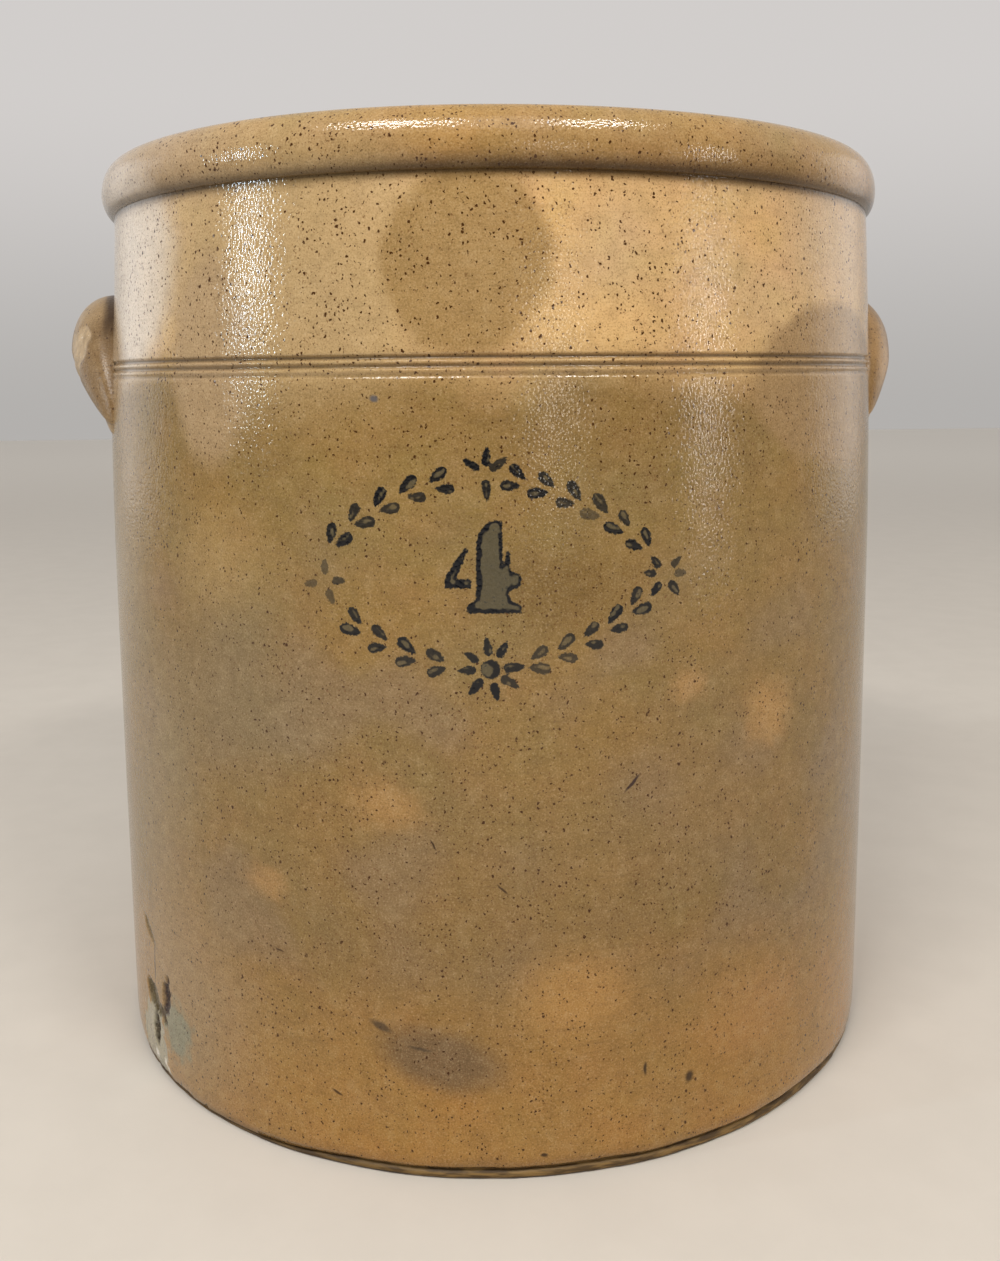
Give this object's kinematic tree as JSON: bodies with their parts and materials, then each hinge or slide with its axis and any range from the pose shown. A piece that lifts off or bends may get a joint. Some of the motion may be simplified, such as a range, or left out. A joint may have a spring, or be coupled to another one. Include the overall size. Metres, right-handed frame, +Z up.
{
  "type": "stoneware crock",
  "caption": "Straight-sided salt-glazed stoneware storage crock with a rolled rim, a combed band, arched ear handles and a brown slip lining.",
  "frame": {"origin": "middle of the underside, on the surface that the crock stands on", "axes": "+Z up the axis of the pot, +X through the right ear handle, -Y towards the decorated front"},
  "size_m": [0.3088, 0.28, 0.308],
  "materials": {
    "salt_glaze": "orange-peel salt glaze",
    "ear_glaze": "orange-peel salt glaze",
    "brown_slip": "glossy brown slip"
  },
  "bodies": {
    "root": {"crock_body": "salt_glaze", "slip_lining": "brown_slip", "left_ear_handle": "ear_glaze", "right_ear_handle": "ear_glaze"}
  },
  "joints": []
}
